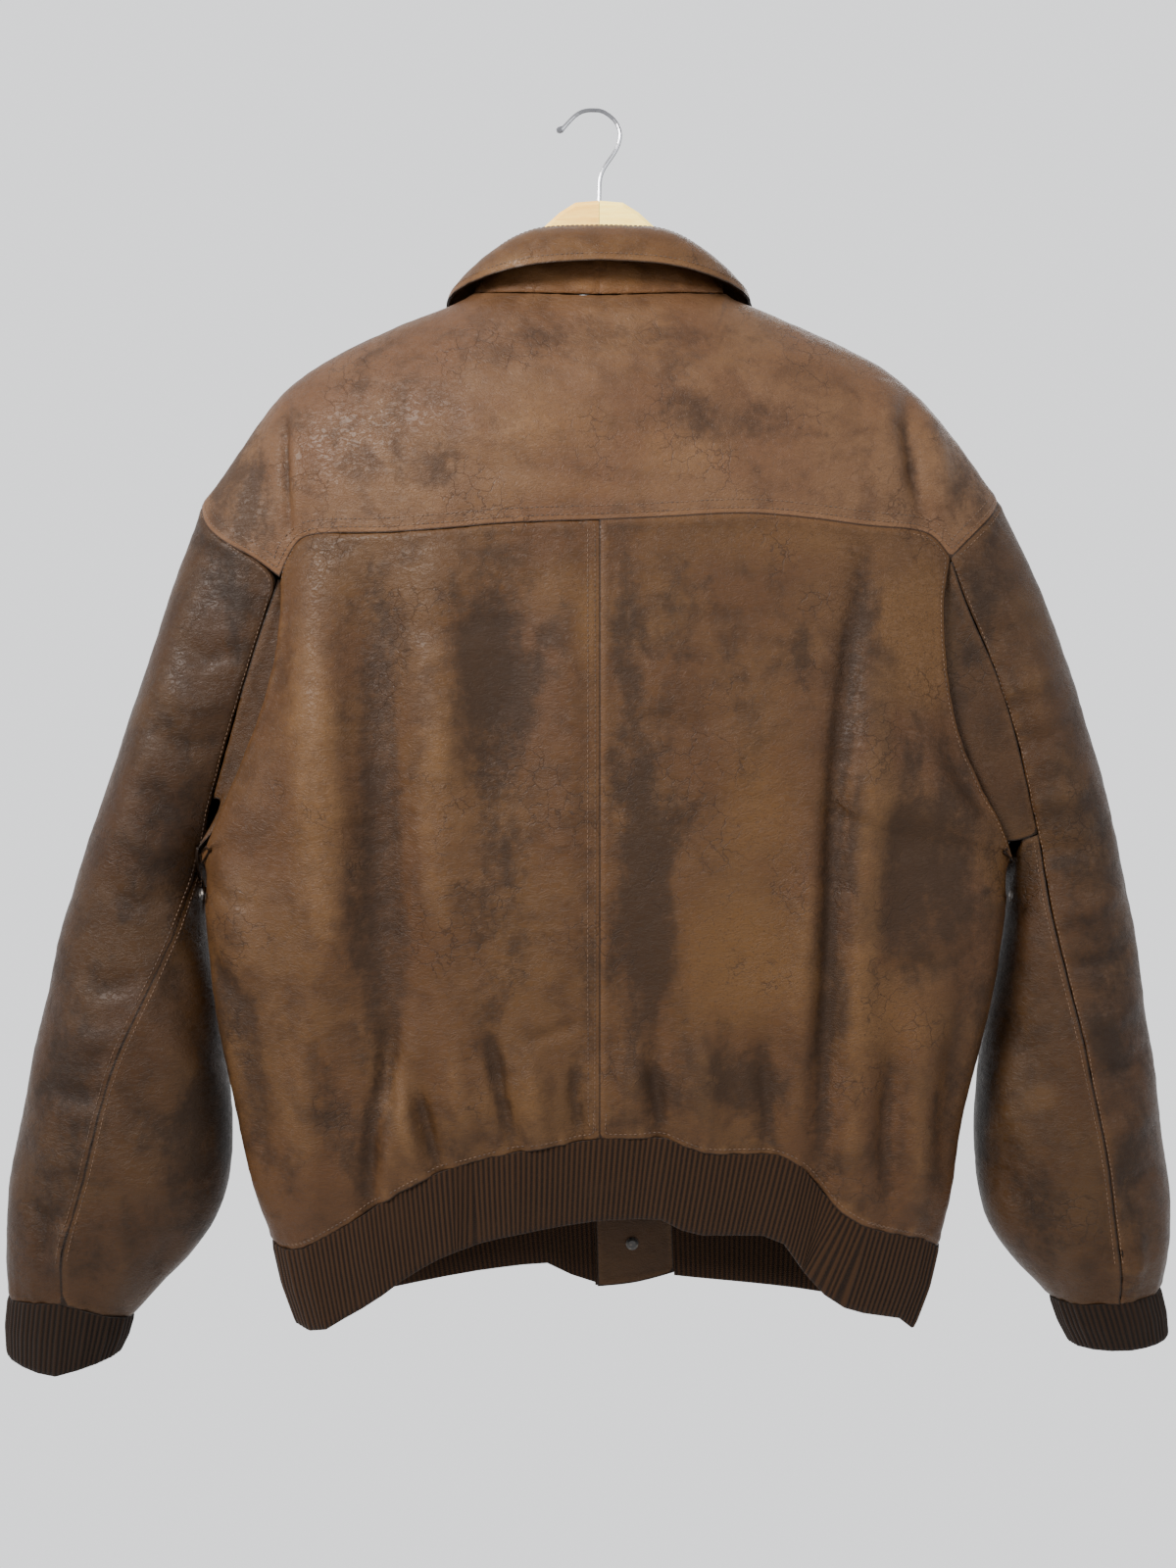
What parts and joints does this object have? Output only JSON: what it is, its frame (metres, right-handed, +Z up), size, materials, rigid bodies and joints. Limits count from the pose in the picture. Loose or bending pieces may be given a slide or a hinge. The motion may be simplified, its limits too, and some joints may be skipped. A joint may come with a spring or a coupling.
{
  "type": "worn leather jacket on a wooden hanger",
  "caption": "Worn brown leather blouson with turned-down collar, ribbed-knit cuffs and hem and a snapped front, hung on a plain wooden hanger with a wire hook.",
  "frame": {"origin": "the underside of the hanger hook's arc, where the hook rests on what it hangs from", "axes": "+Z up, against the pull of the hang; -Y out of the jacket's back, +Y out of its front; +X to the wearer's right"},
  "size_m": [0.8994, 0.1545, 0.9636],
  "materials": {
    "worn_leather": "worn satin, rubbed lighter at the seams",
    "ribbed_knit": "matte",
    "pale_wood": "satin",
    "bright_steel": "polished",
    "blackened_metal": "satin"
  },
  "bodies": {
    "root": {"back_panel_left": "worn_leather", "back_panel_right": "worn_leather", "back_yoke": "worn_leather", "collar_leaf": "worn_leather", "cuff_rib_left": "ribbed_knit", "cuff_rib_right": "ribbed_knit", "eyelet_left": "blackened_metal", "eyelet_right": "blackened_metal", "front_left": "worn_leather", "front_right": "worn_leather", "gusset_left": "worn_leather", "gusset_right": "worn_leather", "hanger_arm_left": "pale_wood", "hanger_arm_right": "pale_wood", "hanger_hook": "bright_steel", "hem_rib": "ribbed_knit", "placket_overlap": "worn_leather", "placket_underlap": "worn_leather", "sleeve_top_left": "worn_leather", "sleeve_top_right": "worn_leather", "sleeve_under_left": "worn_leather", "sleeve_under_right": "worn_leather", "snap_back_1": "blackened_metal", "snap_back_2": "blackened_metal", "snap_back_3": "blackened_metal", "snap_back_4": "blackened_metal", "snap_back_5": "blackened_metal", "snap_back_6": "blackened_metal", "snap_cap_1": "blackened_metal", "snap_cap_2": "blackened_metal", "snap_cap_3": "blackened_metal", "snap_cap_4": "blackened_metal", "snap_cap_5": "blackened_metal", "snap_cap_6": "blackened_metal", "under_collar_left": "worn_leather", "under_collar_right": "worn_leather"}
  },
  "joints": []
}
